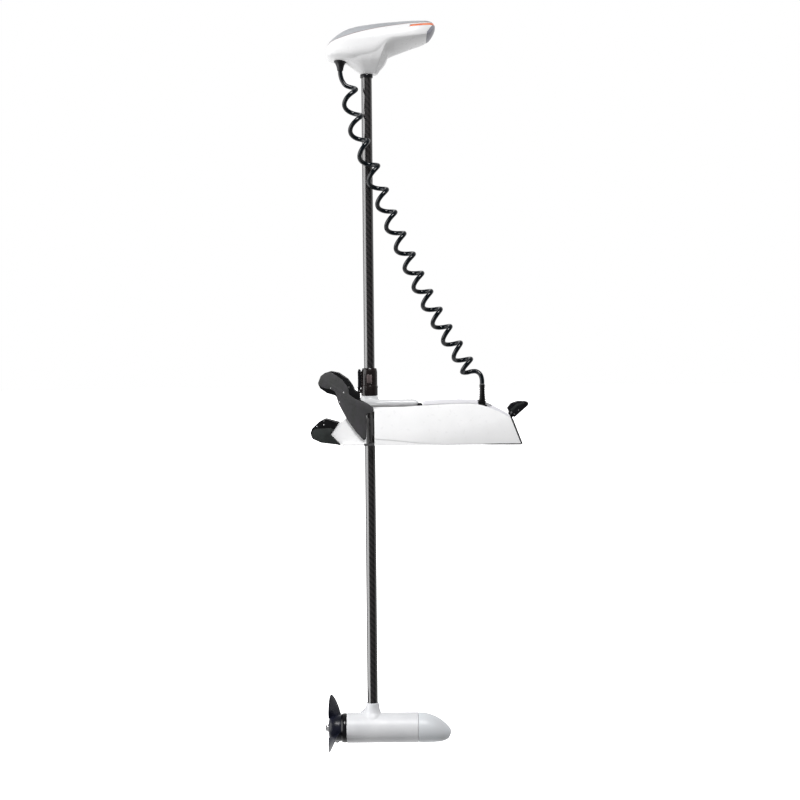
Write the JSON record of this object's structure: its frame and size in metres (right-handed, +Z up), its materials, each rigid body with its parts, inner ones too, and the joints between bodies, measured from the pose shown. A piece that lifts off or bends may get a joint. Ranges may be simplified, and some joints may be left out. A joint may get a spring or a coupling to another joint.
{
  "type": "trolling motor",
  "caption": "Bow-mount electric trolling motor: long shaft with a control head, a tilting deck mount, a coiled cord, and a submersible motor with a propeller.",
  "frame": {"origin": "centre of the deck mount's underside, on the deck plane", "axes": "+X inboard along the mount towards the release lever, +Y athwart the boat, +Z up the shaft towards the control head"},
  "size_m": [0.629, 0.1724, 2.1068],
  "materials": {
    "white_shell": "gloss",
    "white_mount": "gloss",
    "silver_cover": "satin",
    "orange_strip": "satin",
    "motor_paint": "satin",
    "cast_aluminium": "cast",
    "carbon_shaft": "gloss, diagonal woven carbon",
    "black_plastic": "gloss",
    "propeller_plastic": "satin",
    "graphite_cradle": "matte",
    "black_rubber": "satin",
    "cord_jacket": "semi-gloss",
    "steel": "satin",
    "brass": "machined",
    "copper": "machined",
    "ferrite": "matte",
    "circuit_board": "solder mask"
  },
  "bodies": {
    "base": {"deck_channel": "white_mount", "rear_cover": "white_shell", "end_cap": "black_plastic", "cradle_arm_left": "graphite_cradle", "cradle_arm_right": "graphite_cradle", "cradle_horn_left": "black_plastic", "cradle_horn_right": "black_plastic", "tilt_pin": "steel", "control_board": "circuit_board", "strain_relief": "black_rubber", "power_gland": "black_rubber", "release_lever_pin": "steel", "latch_spring": "steel", "coil_cord_lower": "cord_jacket", "cord_tail_lower": "cord_jacket"},
    "steering_unit": {"steering_housing": "white_shell", "steering_cover": "white_shell", "steering_motor": "steel", "steering_gearbox": "cast_aluminium", "lower_bush": "brass", "upper_bush": "brass"},
    "pinion": {"steering_pinion": "steel"},
    "hub": {"hub_sleeve": "steel", "steering_gear": "brass", "depth_collar": "black_plastic", "collar_lever_pin": "steel", "coil_cord_middle": "cord_jacket"},
    "cam_lever": {"collar_lever": "black_plastic"},
    "shaft": {"shaft_tube": "carbon_shaft", "shaft_ferrule": "black_plastic", "motor_leads": "black_rubber", "head_shell": "white_shell", "head_cover": "silver_cover", "head_nose_cap": "silver_cover", "indicator_strip": "orange_strip", "head_circuit_board": "circuit_board", "gps_antenna": "ferrite", "cord_gland": "black_rubber", "motor_housing": "motor_paint", "nose_cone": "motor_paint", "rear_end_bell": "black_plastic", "front_end_bell": "cast_aluminium", "rear_bearing": "steel", "front_bearing": "steel", "shaft_seal": "black_rubber", "magnet_upper": "ferrite", "magnet_lower": "ferrite", "through_bolt_left": "steel", "through_bolt_right": "steel", "brush_plate": "black_plastic", "cord_tail_upper": "cord_jacket", "coil_cord_upper": "cord_jacket"},
    "rotor": {"motor_shaft": "steel", "armature": "steel", "commutator": "copper", "propeller": "propeller_plastic", "prop_drive_pin": "steel", "prop_nut": "steel"},
    "lever": {"release_lever": "black_plastic"},
    "latch": {"latch_bar": "steel"}
  },
  "joints": [
    {"name": "stow_tilt", "type": "hinge", "parent": "base", "child": "steering_unit", "pos_m": [-0.149, 0, 0.096], "axis": [0, 1, 0], "range_deg": [0, 85], "deforming": ["coil_cord_lower"]},
    {"name": "steer", "type": "hinge", "parent": "steering_unit", "child": "hub", "pos_m": [-0.225, 0, 0.11], "axis": [0, 0, 1], "range_deg": [-170, 170], "deforming": ["coil_cord_middle"]},
    {"name": "pinion_spin", "type": "hinge", "parent": "steering_unit", "child": "pinion", "pos_m": [-0.19, 0, 0.11], "axis": [0, 0, 1], "range_deg": [-426, 426]},
    {"name": "depth", "type": "slide", "parent": "hub", "child": "shaft", "axis": [0, 0, 1], "range_m": [-0.15, 0.55], "deforming": ["coil_cord_upper"]},
    {"name": "collar_clamp", "type": "hinge", "parent": "hub", "child": "cam_lever", "pos_m": [-0.255, 0, 0.157], "axis": [0, 1, 0], "range_deg": [-95, 0]},
    {"name": "propeller_spin", "type": "hinge", "parent": "shaft", "child": "rotor", "pos_m": [-0.325, 0, -0.821], "axis": [1, 0, 0], "continuous": true},
    {"name": "release", "type": "hinge", "parent": "base", "child": "lever", "pos_m": [0.184, 0, 0.091], "axis": [0, 1, 0], "range_deg": [0, 18], "stiffness_Nm_per_rad": 3, "springref_deg": -5.73},
    {"name": "latch_slide", "type": "slide", "parent": "base", "child": "latch", "axis": [1, 0, 0], "range_m": [0, 0.0041], "deforming": ["latch_spring"]}
  ],
  "couplings": [
    {"joint": "pinion_spin", "follows": "steer", "ratio": -2.5},
    {"joint": "latch_slide", "follows": "release", "m_per_rad": 0.0127}
  ]
}
